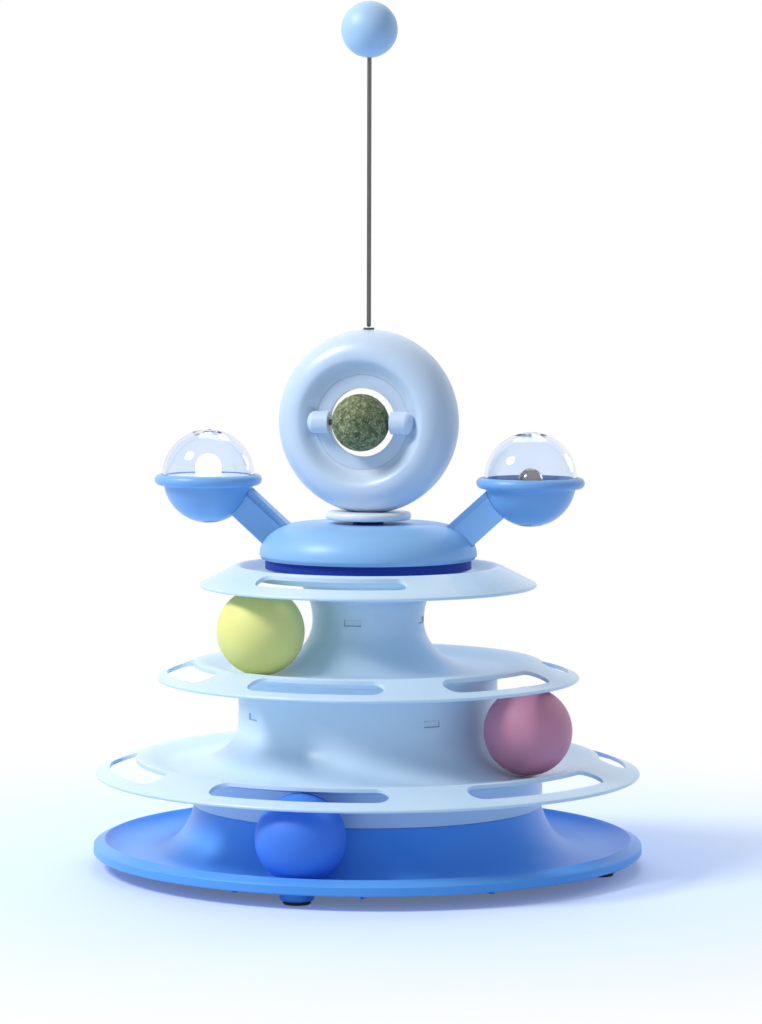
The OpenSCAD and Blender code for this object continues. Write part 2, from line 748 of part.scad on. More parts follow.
module hub_screws() {
    color("#9aa0a8") rotate([0, 0, hub_turn])
        for (k = [0:post_count - 1]) rotate([0, 0, post_turn + 360 * k / post_count])
            translate([post_path, 0, hub_z]) mirror([0, 0, 1]) screw(screw_head_r, hub_screw_len);
}

// An arm: the bar cut to its root, hollowed to the bowl, with a peg into the bowl's wall
module arm() {
    difference() {
        intersection() {
            arm_bar(0);
            translate([arm_root_r, -arm_w, arm_root_z]) cube([cup_reach, 2 * arm_w, cup_z - hub_z]);
        }
        translate([cup_reach, 0, bowl_z]) sphere(r = bowl_r + seat_gap / 2);
    }
    translate([cup_reach, 0, bowl_z]) rotate([0, -arm_slope, 0])
        translate([-bowl_r - 2 * peg_r, 0, 0]) rotate([0, 90, 0])
            cylinder(r = peg_r, h = bowl_wall + 2 * peg_r + peg_in);
}

module arm_right() {
    color(hub_tint) rotate([0, 0, hub_turn]) arm();
}

module arm_left() {
    color(hub_tint) rotate([0, 0, hub_turn + 180]) arm();
}

// Places a child on a cup's axis at the height of its rim
module at_cup(side) {
    rotate([0, 0, hub_turn + side]) translate([cup_reach, 0, cup_z]) children();
}

module cup() {
    outline = concat(
        bow(0, bowl_up, bowl_r, bowl_r, -90, -groove_turn, curve_n),
        bow(bead_c_r, 0, bead_tube_r, bead_tube_r, bead_start_turn, bead_end_turn, curve_n),
        [[cup_in_r, ledge_z]],
        bow(0, bowl_up, cavity_r, cavity_r, -ledge_turn, -90, curve_n));
    difference() {
        rotate_extrude() polygon(outline);
        vents(bowl_up - bowl_r - over);
        translate([0, 0, bowl_up]) rotate([0, -arm_slope, 0]) translate([-bowl_r - over, 0, 0])
            rotate([0, 90, 0]) cylinder(r = peg_r + seat_gap / 2, h = bowl_wall + 2 * over);
    }
}

module cup_right() {
    color(hub_tint) at_cup(0) cup();
}

module cup_left() {
    color(hub_tint) at_cup(180) cup();
}

module dome() {
    outline = concat(
        [[dome_r - dome_wall, dome_foot_z], [dome_r, dome_foot_z]],
        bow(0, dome_up, dome_r, dome_r, 0, 90, curve_n),
        bow(0, dome_up, dome_r - dome_wall, dome_r - dome_wall, 90, 0, curve_n));
    difference() {
        rotate_extrude() polygon(outline);
        vents(dome_up + dome_r + over - vent_depth);
        for (k = [0:vent_count - 1]) rotate([0, 0, 360 * k / vent_count])
            translate([pin_hole_path, 0, dome_up + dome_r + over - vent_depth])
                cylinder(r = pin_hole_r, h = vent_depth);
    }
}

module dome_right() {
    color("#dfeaf6", 0.35) at_cup(0) dome();
}

module dome_left() {
    color("#dfeaf6", 0.35) at_cup(180) dome();
}

module bell_dish() {
    outline = concat(
        bow(0, dish_c_z, dish_curve_r, dish_curve_r, -90, -90 + dish_turn, short_n),
        [[dish_r, insert_top_z], [insert_r, insert_top_z], [insert_r, ledge_z], [dish_under_r, ledge_z]],
        bow(0, dish_c_z, dish_curve_r + insert_t, dish_curve_r + insert_t,
            -90 + dish_under_turn, -90, short_n));
    color("#dfe5ee") at_cup(0) rotate_extrude() polygon(outline);
}

module bell_shell() {
    color("#6d6a68") at_cup(0) translate([0, 0, bell_z]) difference() {
        sphere(r = bell_r);
        sphere(r = bell_r - bell_wall);
        translate([-bell_slot_reach, -bell_r - over, -bell_slot_h / 2])
            cube([2 * bell_slot_reach, bell_r / 2 + over, bell_slot_h]);
        for (side = [-1, 1]) translate([side * bell_slot_reach, 0, 0])
            rotate([90, 0, 0]) cylinder(r = bell_eye_r, h = bell_r);
    }
}

module bell_pea() {
    color("#8d9299") at_cup(0) translate([0, 0, bell_z - pea_drop]) sphere(r = pea_r);
}

module light_base() {
    outline = [[0, ledge_z], [insert_r, ledge_z], [insert_r, insert_top_z], [light_base_r, insert_top_z],
               [light_base_r, light_base_h - light_base_round],
               [light_base_r - light_base_round, light_base_h], [0, light_base_h]];
    color("#fafbfc") at_cup(180) difference() {
        rotate_extrude() polygon(outline);
        translate([0, 0, light_z]) sphere(r = light_r + washer_gap);
    }
}

module light_ball() {
    color("#ffffff") at_cup(180) translate([0, 0, light_z]) sphere(r = light_r);
}

// Places a child on the ring's axis with its +Z towards the front
module at_ring() {
    translate([0, 0, ring_z]) rotate([90, 0, 0]) children();
}

module collar() {
    outline = concat(
        [[0, collar_z]],
        bow(collar_r - collar_round, collar_z + collar_round, collar_round, collar_round, -90, 0, crest_n),
        bow(collar_r - collar_round, collar_z + collar_h - collar_round, collar_round, collar_round, 0, 90, crest_n),
        [[0, collar_z + collar_h]]);
    color("#f7f8fa") difference() {
        union() {
            difference() {
                rotate_extrude() polygon(outline);
                at_ring() rotate_extrude() translate([ring_r - cradle_r, 0]) circle(r = cradle_r + seat_gap);
            }
            translate([0, 0, collar_z]) cylinder(r = neck_post_r, h = neck_head_z + neck_head_h);
            translate([0, 0, collar_z + neck_head_z]) cylinder(r = neck_head_r, h = neck_head_h);
        }
        translate([0, 0, collar_z - over]) cylinder(r = screw_hole_r, h = counterbore_z + 2 * over);
        translate([0, 0, collar_z + counterbore_z])
            cylinder(r = counterbore_r, h = neck_head_z + neck_head_h);
    }
}

module collar_screw() {
    color("#9aa0a8") translate([0, 0, collar_z + counterbore_z])
        screw(collar_screw_head_r, collar_screw_len);
}

// The room round one of the holder's ears, along +X in the ring's frame
module ear_room(gap) {
    translate([ear_in - gap, 0, catnip_out]) rotate([0, 90, 0])
        cylinder(r = ear_r + gap, h = ear_len + 2 * gap);
}

// Outer outline of half the ring's section, or the same outline inset by a gap
function ring_line(g, n) =
    concat(bow(ring_core_r, 0, ring_side_w - g, ring_half - g, 0, 90, n),
           swell(ring_core_r, ring_half - g, ring_bore_r + g, funnel_d - g, n),
           [[ring_bore_r + g, funnel_d - g]]);

// The same points in the opposite order
function turned(p) = [for (i = [len(p) - 1:-1:0]) p[i]];

// One half of the ring; the front one also has the holder's lip and the pockets for its ears
module half_ring(front) {
    lip_r = ring_bore_r - lip_ring_w;
    outline = concat(
        ring_line(0, short_n),
        front ? [[ring_bore_r, holder_d], [lip_r, holder_d], [lip_r, holder_d - lip_ring_t],
                 [ring_bore_r, holder_d - lip_ring_t]] : [],
        [[ring_bore_r, 0], [ring_bore_r + ring_wall, 0]],
        turned(ring_line(ring_wall, ring_in_n)));
    inside = concat(ring_line(ring_wall / 2, ring_in_n), [[ring_bore_r + ring_wall / 2, 0]]);
    difference() {
        union() {
            rotate([0, 0, seam_turn]) rotate_extrude() polygon(outline);
            if (front) for (side = [0, 180]) rotate([0, 0, side]) intersection() {
                ear_room(pocket_wall + seat_gap);
                rotate([0, 0, seam_turn]) rotate_extrude() polygon(inside);
            }
        }
        if (front) for (side = [0, 180]) rotate([0, 0, side]) ear_room(seat_gap);
        translate([0, -ring_core_r, 0]) rotate([90, 0, 0]) rotate([0, 0, seam_turn])
            cylinder(r = neck_post_r + seat_gap, h = ring_side_w + over);
        translate([0, ring_core_r, 0]) rotate([-90, 0, 0]) rotate([0, 0, seam_turn])
            cylinder(r = grommet_r + seat_gap / 2, h = ring_side_w + over);
    }
}

module ring_front() {
    color(ring_tint) at_ring() half_ring(true);
}

module ring_back() {
    color(ring_tint) at_ring() mirror([0, 0, 1]) half_ring(false);
}

module ball_holder() {
    color(ring_tint) at_ring() difference() {
        union() {
            rotate_extrude() polygon([[holder_hole_r, holder_d], [holder_r, holder_d],
                                      [holder_r, holder_d + holder_t], [holder_hole_r, holder_d + holder_t]]);
            for (side = [0, 180]) rotate([0, 0, side]) translate([0, 0, catnip_out]) rotate([0, 90, 0])
                rotate_extrude() polygon(concat(
                    [[0, ear_in], [ear_r, ear_in]],
                    bow(0, ear_in + ear_len - ear_round, ear_r, ear_round, 0, 90, short_n)));
        }
        translate([-axle_half - seat_gap, 0, catnip_out]) rotate([0, 90, 0])
            cylinder(r = axle_r + shaft_gap, h = 2 * (axle_half + seat_gap));
    }
}

module catnip_axle() {
    color("#b9bec6") at_ring() translate([-axle_half, 0, catnip_out]) rotate([0, 90, 0])
        cylinder(r = axle_r, h = 2 * axle_half);
}

module catnip_ball() {
    color("#6f6a35") at_ring() translate([0, 0, catnip_out]) rotate([0, 90, 0]) difference() {
        sphere(r = catnip_r);
        translate([0, 0, -catnip_r - over])
            cylinder(r = axle_r + shaft_gap, h = 2 * (catnip_r + over));
    }
}

module wand_grommet() {
    color("#3a3d44") union() {
        translate([0, 0, grommet_top_z - grommet_len]) cylinder(r = grommet_r, h = grommet_len);
        translate([0, 0, grommet_top_z - grommet_head_drop - grommet_head_t / 2])
            cylinder(r = grommet_head_r, h = grommet_head_t);
    }
}

module wand_wire() {
    color("#8f949c") translate([0, 0, wire_foot_z]) union() {
        sphere(r = wire_r);
        cylinder(r = wire_r, h = wand_len);
    }
}

module wand_ball() {
    color("#8fc0f2") translate([0, 0, wand_ball_z]) difference() {
        sphere(r = wand_ball_r);
        translate([0, 0, -wand_ball_r - over]) cylinder(r = wire_r + shaft_gap, h = wand_ball_r + over);
    }
}

base_tray();
rubber_feet();
lower_tray();
middle_tray();
top_tray();
base_ball();
lower_ball();
middle_ball();
spindle();
spindle_screws();
thrust_washer();
hub_shell();
hub_plate();
hub_screws();
arm_left();
arm_right();
cup_left();
cup_right();
dome_left();
dome_right();
bell_dish();
bell_shell();
bell_pea();
light_base();
light_ball();
collar();
collar_screw();
ring_front();
ring_back();
ball_holder();
catnip_axle();
catnip_ball();
wand_grommet();
wand_wire();
wand_ball();
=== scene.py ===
import math

import bmesh
import bpy
from mathutils import Matrix, Vector
from mathutils.bvhtree import BVHTree


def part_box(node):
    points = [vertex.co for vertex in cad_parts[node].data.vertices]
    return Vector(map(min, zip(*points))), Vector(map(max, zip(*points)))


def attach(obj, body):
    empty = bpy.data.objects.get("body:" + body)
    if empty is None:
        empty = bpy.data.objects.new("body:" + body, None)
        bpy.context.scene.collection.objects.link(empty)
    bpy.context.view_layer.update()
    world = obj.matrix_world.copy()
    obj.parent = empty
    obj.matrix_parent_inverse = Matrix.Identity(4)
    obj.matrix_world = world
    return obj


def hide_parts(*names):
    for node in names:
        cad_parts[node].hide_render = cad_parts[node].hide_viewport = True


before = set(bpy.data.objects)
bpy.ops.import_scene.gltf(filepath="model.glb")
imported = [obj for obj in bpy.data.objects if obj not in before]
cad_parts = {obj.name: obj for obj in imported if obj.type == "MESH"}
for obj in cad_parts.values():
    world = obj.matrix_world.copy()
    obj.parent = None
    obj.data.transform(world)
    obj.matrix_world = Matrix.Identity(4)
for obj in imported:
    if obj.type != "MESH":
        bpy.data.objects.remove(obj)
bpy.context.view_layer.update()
MM = 0.001

# Camera: its turn off the toy's front, its tilt and roll, its place, its lens and sensor
CAMERA_TURN = math.radians(16)
CAMERA_TILT = 0.0703
CAMERA_ROLL = 0.0025
CAMERA_SIDE = 5.72 * MM
CAMERA_BACK = 1678.3 * MM
CAMERA_HEIGHT = 279.5 * MM
CAMERA_LENS = 130.17
CAMERA_SENSOR = 36

# Meshes, in metres and degrees: points as close as WELD are one, faces that differ by less
# than FLAT are joined, and edges sharper than CREASE stay sharp
WELD = 1e-6
FLAT = 0.4
CREASE = 32

# How near a point has to be to a surface to count as on it
NEAR = 0.02 * MM

# Feet: the rubber pad's radius, the radius, foot height and rounding of the boss over it, and
# how far inside the boss's radius its rim is looked for
PAD_R = 6.1 * MM
BOSS_R = 7.5 * MM
BOSS_FOOT = 1.6 * MM
BOSS_ROUND = 1 * MM
BOSS_RIM = 0.1 * MM

# Ring: the radius of its bore and of the holder's lugs, the gap round both in the CAD, and
# the seams that are left of that gap
RING_BORE = 21.5 * MM
LUG_R = 4.9 * MM
SEAT_GAP = 0.2 * MM
RIM_SEAM = 0.03 * MM
LUG_SEAM = 0.04 * MM

# Webs over the corners of the lugs' seats: how far they go out from the bore and lap into
# it, their thickness, their height above the ring's face, their rows of facets, and the
# degrees that they reach each side of a lug and that one facet takes. The rays that read the
# face start at IN_FRONT, ahead of the ring.
WEB_WIDTH = 4.4 * MM
WEB_LAP = 0.01 * MM
WEB_DEPTH = 1 * MM
WEB_PROUD = 0.012 * MM
WEB_ROWS = 8
WEB_ANGLE = 16
WEB_STEP = 2
IN_FRONT = -60 * MM

# Catnip ball: its share of the node's radius, and the size, height and level of its flakes
LUMP_SHARE = 0.995
FLAKE_SIZE = 1.2 * MM
FLAKE_HEIGHT = 0.3 * MM
FLAKE_LEVEL = 0.8

# Light: the bulb's radius, its foot and top above the node's foot, its edge, and its facets
BULB_R = 5.85 * MM
BULB_FOOT = 0.26 * MM
BULB_TOP = 9.9 * MM
BULB_EDGE = 0.3 * MM
BULB_ARC = 6
BULB_STEPS = 64

# Studio, in metres: half the floor's side, the radii where it starts and ends its fade to
# white, and the height that the lamps aim at
FLOOR_HALF = 6
FADE_START = 0.13
FADE_END = 0.42
LAMP_AIM = 0.16

# Mesh helpers


def finish_mesh(name, bm, sharp=CREASE):
    """Turns a bmesh into an object with smooth faces and sharp edges above an angle."""
    mesh = bpy.data.meshes.new(name)
    bm.to_mesh(mesh)
    bm.free()
    for face in mesh.polygons:
        face.use_smooth = True
    mesh.set_sharp_from_angle(angle=math.radians(sharp))
    obj = bpy.data.objects.new(name, mesh)
    bpy.context.scene.collection.objects.link(obj)
    return obj


def moulded(node, name, body, slot, material, edge=0, sharp=CREASE, segments=2, fit=None):
    """A moulded piece: a CAD solid with its triangles welded and its edges rounded, in mm."""
    bm = bmesh.new()
    bm.from_mesh(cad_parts[node].data)
    bmesh.ops.remove_doubles(bm, verts=bm.verts, dist=WELD)
    if fit:
        fit(bm)
    bmesh.ops.dissolve_limit(bm, angle_limit=math.radians(FLAT), verts=bm.verts, edges=bm.edges)
    obj = finish_mesh(name, bm, sharp)
    if edge:
        rounding = obj.modifiers.new("rounded_edges", "BEVEL")
        rounding.width = edge * MM
        rounding.segments = segments
        rounding.profile = 0.5
        rounding.limit_method = "ANGLE"
        rounding.angle_limit = math.radians(sharp)
        rounding.use_clamp_overlap = True
        rounding.harden_normals = True
    return dress(obj, body, slot, material, node)


def dress(obj, body, slot, material, *nodes):
    """Gives a piece its material and its body, and hides the CAD nodes that it stands for."""
    obj.data.materials.clear()
    obj.data.materials.append(material)
    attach(obj, body)
    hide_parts(*nodes)
    return obj


def paint(node, material):
    """Gives a carried-over CAD node its finished material."""
    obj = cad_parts[node]
    obj.data.materials.clear()
    obj.data.materials.append(material)


# Shader helpers


def feed(tree, made, inputs):
    """Gives a shader node's inputs their values, or links them to the sockets they follow."""
    for label, value in inputs.items():
        if isinstance(value, bpy.types.NodeSocket):
            tree.links.new(value, made.inputs[label])
        else:
            made.inputs[label].default_value = value


def add(tree, kind, inputs, **settings):
    """A new shader node with its settings and inputs."""
    made = tree.nodes.new("ShaderNode" + kind)
    for label, value in settings.items():
        setattr(made, label, value)
    feed(tree, made, inputs)
    return made


def reckon(tree, operation, *values):
    """The result of an operation on values or sockets."""
    return add(tree, "Math", dict(enumerate(values)), operation=operation).outputs[0]


def object_place(tree):
    """The place of the shaded point on its object."""
    return add(tree, "TexCoord", {}).outputs["Object"]


def stretched(tree, scale, turn=(0, 0, 0)):
    """The place of the shaded point, stretched along each axis and turned."""
    inputs = {"Vector": object_place(tree), "Scale": scale, "Rotation": turn}
    return add(tree, "Mapping", inputs).outputs["Vector"]


def noise(tree, where, scale, detail=2, roughness=0.5):
    """Noise between 0 and 1."""
    inputs = {"Vector": where, "Scale": scale, "Detail": detail, "Roughness": roughness}
    return add(tree, "TexNoise", inputs).outputs["Fac"]


def spread(tree, value, low, high, **settings):
    """A value brought from low and high to 0 and 1."""
    inputs = {"Value": value, "From Min": low, "From Max": high}
    return add(tree, "MapRange", inputs, **settings).outputs["Result"]


def mix_colour(tree, share, first, second, mode="MIX"):
    """Two colours mixed by a share of the second."""
    inputs = {"Factor": share, "A": first, "B": second}
    mixed = add(tree, "Mix", inputs, data_type="RGBA", blend_type=mode, clamp_factor=True)
    return mixed.outputs["Result"]


def ramp(tree, value, *stops):
    """The colour of a value on a ramp, whose stops are pairs of a place and a colour."""
    made = add(tree, "ValToRGB", {"Fac": value})
    elements = made.color_ramp.elements
    for element, (place, colour) in zip(elements, (stops[0], stops[-1])):
        element.position = place
        element.color = (*colour, 1)
    for place, colour in stops[1:-1]:
        elements.new(place).color = (*colour, 1)
    return made.outputs["Color"]


def bump(tree, height, strength, distance):
    """The normal of a surface raised by a height."""
    inputs = {"Height": height, "Strength": strength, "Distance": distance}
    return add(tree, "Bump", inputs).outputs["Normal"]


def new_material(name):
    """A new material with its node tree and its shader."""
    mat = bpy.data.materials.new(name)
    mat.use_nodes = True
    return mat, mat.node_tree, mat.node_tree.nodes["Principled BSDF"]


def new_group(name, inputs, outputs):
    """An empty shader node group with named sockets."""
    group = bpy.data.node_groups.new(name, "ShaderNodeTree")
    for label, kind, value in inputs:
        socket = group.interface.new_socket(name=label, in_out="INPUT", socket_type=kind)
        socket.default_value = value
    for label, kind in outputs:
        group.interface.new_socket(name=label, in_out="OUTPUT", socket_type=kind)
    return group, group.nodes.new("NodeGroupInput").outputs, group.nodes.new("NodeGroupOutput")


# Materials

# Moulded plastic: how far scuffs pale it, how far scuffs and clouds roughen it, and how
# strong its grain and scuffs are
SCUFF_PALE = 0.12
SCUFF_ROUGH = 0.25
CLOUD_ROUGH = 0.09
GRAIN = 0.12
SCUFFS = 0.06

# Metal: the share of its tint in the dark lines, and how far the lines roughen it
LINE_SHADE = 0.72
LINE_ROUGH = 0.12

# Clear shell and catnip: how far the haze roughens one, and how far pale flecks cover the other
HAZE_ROUGH = 0.05
FLECK_SHARE = 0.7


def moulding_group():
    """Moulded plastic: slow clouds of a deeper tint, fine scuffs and orange-peel grain."""
    group, given, made = new_group(
        "moulded_plastic",
        [("Tint", "NodeSocketColor", (0.5, 0.5, 0.5, 1)),
         ("Deep Tint", "NodeSocketColor", (0.4, 0.4, 0.4, 1)),
         ("Tone", "NodeSocketFloat", 0.3),
         ("Roughness", "NodeSocketFloat", 0.25),
         ("Grain", "NodeSocketFloat", 0.05),
         ("Scuffs", "NodeSocketFloat", 0.2)],
        [("Color", "NodeSocketColor"),
         ("Roughness", "NodeSocketFloat"),
         ("Normal", "NodeSocketVector")])
    clouds = noise(group, object_place(group), scale=14, detail=3)
    deep = spread(group, clouds, low=0.35, high=0.68)
    tone = reckon(group, "MULTIPLY", deep, given["Tone"])
    colour = mix_colour(group, tone, given["Tint"], given["Deep Tint"])
    # scuffs are short pale strokes on a stretched noise
    strokes = noise(group, stretched(group, (60, 420, 150), turn=(0.3, 0.5, 0.8)), scale=1)
    thin = spread(group, strokes, low=0.66, high=0.74)
    scuffed = reckon(group, "MULTIPLY", thin, given["Scuffs"])
    faint = reckon(group, "MULTIPLY", scuffed, SCUFF_PALE)
    cloudy = reckon(group, "MULTIPLY_ADD", clouds, CLOUD_ROUGH, given["Roughness"])
    peel = noise(group, object_place(group), scale=900)
    feed(group, made, {
        "Color": mix_colour(group, faint, colour, (0.9, 0.94, 1, 1)),
        "Roughness": reckon(group, "MULTIPLY_ADD", scuffed, SCUFF_ROUGH, cloudy),
        "Normal": bump(group, peel, strength=given["Grain"], distance=0.1 * MM)})
    return group


MOULDING = moulding_group()


def plastic(name, tint, deep, tone=0.35, rough=0.30, coat=0.1, glow=0, shine=(1, 1, 1)):
    """Moulded plastic of one colour, with a deeper one in its slow clouds."""
    mat, tree, shader = new_material(name)
    surface = add(tree, "Group", {}, node_tree=MOULDING)
    feed(tree, surface, {"Tint": (*tint, 1), "Deep Tint": (*deep, 1), "Tone": tone,
                         "Roughness": rough, "Grain": GRAIN, "Scuffs": SCUFFS})
    feed(tree, shader, {
        "Base Color": surface.outputs["Color"], "Roughness": surface.outputs["Roughness"],
        "Normal": surface.outputs["Normal"], "IOR": 1.49, "Specular Tint": (*shine, 1),
        "Coat Weight": coat, "Coat Roughness": 0.15})
    if glow:
        feed(tree, shader, {"Subsurface Weight": glow, "Subsurface Radius": (0.6, 0.8, 1),
                            "Subsurface Scale": 3 * MM})
    return mat


def metal(name, tint, rough, stretch, shade_node=None):
    """Metal with fine lines, and painted shade at the foot and crown of a node where one is named.
    """
    mat, tree, shader = new_material(name)
    lines = noise(tree, stretched(tree, stretch), scale=4, detail=3)
    colour = ramp(tree, lines, (0.3, [part * LINE_SHADE for part in tint]), (0.7, tint))
    if shade_node:
        # painted shade: the tint is darkened at the node's foot and crown
        colour = mix_colour(tree, 1, colour, painted_shade_bands(tree, shade_node), "MULTIPLY")
    feed(tree, shader, {
        "Metallic": 1, "Base Color": colour,
        "Roughness": reckon(tree, "MULTIPLY_ADD", lines, LINE_ROUGH, rough),
        "Normal": bump(tree, lines, strength=0.08, distance=0.1 * MM)})
    return mat


def painted_shade_bands(tree, node):
    """Painted shade by the height on a node: grey, dark at its foot and its crown and full between
    them, so that the evenly lit metal looks round.
    """
    low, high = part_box(node)
    split = add(tree, "SeparateXYZ", {"Vector": object_place(tree)})
    rise = spread(tree, split.outputs["Z"], low.z, high.z)
    bands = ((0.50, 0.12), (0.60, 0.9), (0.84, 1), (0.98, 0.25))
    return ramp(tree, rise, *[(place, (tone, tone, tone)) for place, tone in bands])


def clear_shell():
    """Clear polystyrene with a faint blue body and a trace of haze in its roughness."""
    mat, tree, shader = new_material("clear_dome")
    haze = noise(tree, object_place(tree), scale=60)
    feed(tree, shader, {
        "Transmission Weight": 1, "IOR": 1.45, "Specular IOR Level": 0.1,
        "Base Color": ramp(tree, haze, (0, (0.80, 0.88, 1)), (1, (0.88, 0.93, 1))),
        "Roughness": reckon(tree, "MULTIPLY", haze, HAZE_ROUGH)})
    return mat


def lit_white():
    """The translucent white shell of the light, glowing from inside."""
    mat, tree, shader = new_material("light_shell")
    cloud = noise(tree, object_place(tree), scale=160)
    colour = ramp(tree, cloud, (0, (0.86, 0.92, 1)), (1, (1, 1, 1)))
    feed(tree, shader, {"Base Color": colour, "Emission Color": colour,
                        "Emission Strength": 1.1, "Roughness": 0.35})
    return mat


def pressed_herb():
    """Pressed catnip: fine olive flecks, some pale and some dark, on slow clumps."""
    mat, tree, shader = new_material("pressed_catnip")
    where = object_place(tree)
    clumps = ramp(tree, noise(tree, where, scale=340, detail=6, roughness=0.7),
                  (0.30, (0.040, 0.050, 0.020)), (0.5, (0.140, 0.170, 0.075)),
                  (0.72, (0.42, 0.45, 0.22)))
    flakes = add(tree, "TexVoronoi", {"Vector": where, "Scale": 1500}).outputs
    grey = add(tree, "RGBToBW", {"Color": flakes["Color"]}).outputs["Val"]
    pale = reckon(tree, "MULTIPLY", spread(tree, grey, low=0.62, high=0.86), FLECK_SHARE)
    feed(tree, shader, {
        "Base Color": mix_colour(tree, pale, clumps, (0.48, 0.53, 0.36, 1)), "Roughness": 0.9,
        "Normal": bump(tree, flakes["Distance"], strength=0.7, distance=0.4 * MM)})
    return mat


def pad_rubber():
    """Black rubber with a fine dusty grain."""
    mat, tree, shader = new_material("black_rubber")
    grain = noise(tree, object_place(tree), scale=700)
    feed(tree, shader, {
        "Base Color": ramp(tree, grain, (0, (0.012, 0.012, 0.014)), (1, (0.04, 0.04, 0.045))),
        "Roughness": 0.75, "Normal": bump(tree, grain, strength=0.3, distance=0.1 * MM)})
    return mat


# Finishes

BASE = plastic("base_blue_plastic", (0.13, 0.42, 0.94), (0.08, 0.32, 0.84), coat=0, glow=0.1,
               shine=(0.3, 0.6, 1))
TRAY = plastic("tray_pale_plastic", (0.66, 0.83, 0.985), (0.57, 0.75, 0.96), tone=0.3, glow=0.2)
HUB = plastic("hub_blue_plastic", (0.29, 0.56, 0.92), (0.23, 0.49, 0.88), rough=0.38, coat=0.05,
              glow=0.1)
# The hub's plate and the pin are a near-black blue: painted shade for the dark band under the hub
# and the gap under the collar.
SHADE_BLUE = plastic("plate_painted_shade_blue", (0.015, 0.045, 0.34), (0.01, 0.04, 0.30), rough=0.5,
                coat=0, shine=(0.2, 0.3, 1))
CUP = plastic("cup_blue_plastic", (0.21, 0.46, 0.84), (0.16, 0.40, 0.79), glow=0.1)
RING = plastic("ring_pale_plastic", (0.63, 0.75, 0.90), (0.55, 0.68, 0.87), tone=0.3, glow=0.2)
WHITE = plastic("white_plastic", (0.82, 0.88, 0.95), (0.76, 0.83, 0.93), tone=0.3)
YELLOW = plastic("ball_yellow_plastic", (0.90, 0.87, 0.29), (0.82, 0.81, 0.23), rough=0.5,
                 coat=0, glow=0.2)
PINK = plastic("ball_pink_plastic", (0.68, 0.28, 0.40), (0.58, 0.24, 0.36), rough=0.5, coat=0,
               glow=0.2)
BLUE = plastic("ball_blue_plastic", (0.06, 0.24, 0.88), (0.04, 0.18, 0.78), rough=0.5, coat=0,
               glow=0.1)
WAND = plastic("wand_ball_plastic", (0.45, 0.66, 0.88), (0.37, 0.58, 0.85), rough=0.4, coat=0,
               glow=0.2)
GROMMET = plastic("grommet_plastic", (0.10, 0.11, 0.13), (0.06, 0.07, 0.08), rough=0.45, coat=0)
NYLON = plastic("washer_nylon", (0.80, 0.80, 0.78), (0.72, 0.72, 0.70), rough=0.4, coat=0)
STEEL = metal("wire_steel", (0.16, 0.16, 0.163), rough=0.36, stretch=(500, 500, 30))
# the bell's tint gets painted shade at its foot and crown
BELL = metal("bell_metal", (0.34, 0.30, 0.27), rough=0.08, stretch=(220, 220, 260),
             shade_node="bell_shell")
CLEAR = clear_shell()
GLOW = lit_white()
HERB = pressed_herb()
RUBBER = pad_rubber()

# Fits, which change a solid's copy before its edges are rounded


def round_bosses(bm):
    """Rounds the foot of each boss that holds a rubber foot."""
    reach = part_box("rubber_feet")[1].x - PAD_R
    centres = ((reach, 0), (-reach, 0), (0, reach), (0, -reach))

    def on_rim(vert):
        away = min(math.hypot(vert.co.x - x, vert.co.y - y) for x, y in centres)
        return abs(vert.co.z - BOSS_FOOT) < NEAR and away > BOSS_R - BOSS_RIM

    rims = [edge for edge in bm.edges if all(on_rim(vert) for vert in edge.verts)]
    bmesh.ops.bevel(bm, geom=rims, offset=BOSS_ROUND, offset_type="OFFSET", segments=4,
                    profile=0.5, affect="EDGES", material=-1)


def ring_middle():
    """The height of the ring's centre, and how far forward the lugs' axle stands."""
    low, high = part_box("ball_holder")
    axle_low, axle_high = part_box("catnip_axle")
    return (low.z + high.z) / 2, (axle_low.y + axle_high.y) / 2


def seat_holder(bm):
    """Brings the holder's rim and lugs up to the ring, so that their seams are hairlines."""
    middle, out = ring_middle()
    rim_r = RING_BORE - SEAT_GAP
    rim_grow = (RING_BORE - RIM_SEAM) / rim_r
    lug_grow = (LUG_R + SEAT_GAP - LUG_SEAM) / LUG_R
    for vert in bm.verts:
        x, y, z = vert.co
        if abs(math.hypot(x, z - middle) - rim_r) < NEAR:
            vert.co = (x * rim_grow, y, middle + (z - middle) * rim_grow)
        elif abs(math.hypot(y - out, z - middle) - LUG_R) < NEAR:
            vert.co = (x, out + (y - out) * lug_grow, middle + (z - middle) * lug_grow)


def close_lug_seats(bm):
    """Adds webs over the corners of the lugs' seats, flush with the ring's face."""
    middle = ring_middle()[0]
    ring_face = BVHTree.FromBMesh(bm)
    profile = []
    for row in range(WEB_ROWS + 1):
        r = RING_BORE - WEB_LAP + WEB_WIDTH * row / WEB_ROWS
        # the face is read at 45 degrees, where no seat cuts it
        reach = max(r, RING_BORE + NEAR) * math.sqrt(0.5)
        hit = ring_face.ray_cast((reach, IN_FRONT, middle + reach), (0, 1, 0))[0]
        profile.append((r, hit.y - WEB_PROUD))
    angles = [math.radians(angle) for angle in range(-WEB_ANGLE, WEB_ANGLE + 1, WEB_STEP)]
    rows = len(profile)
    columns = len(angles)
    # the border runs once round a web's grid and closes its sides
    border = [(i, 0) for i in range(rows)] + [(rows - 1, j) for j in range(1, columns)]
    border += [(i, columns - 1) for i in range(rows - 2, -1, -1)]
    border += [(0, j) for j in range(columns - 2, -1, -1)]
    for side in (1, -1):
        top, under = [[[bm.verts.new((side * r * math.cos(a), y + deep, middle + r * math.sin(a)))
                        for a in angles] for r, y in profile] for deep in (0, WEB_DEPTH)]
        faces = [bm.faces.new((grid[i][j], grid[i + 1][j], grid[i + 1][j + 1], grid[i][j + 1]))
                 for i in range(rows - 1) for j in range(columns - 1) for grid in (top, under)]
        faces += [bm.faces.new((top[i][j], top[k][m], under[k][m], under[i][j]))
                  for (i, j), (k, m) in zip(border, border[1:])]
        bmesh.ops.recalc_face_normals(bm, faces=faces)


# Pieces

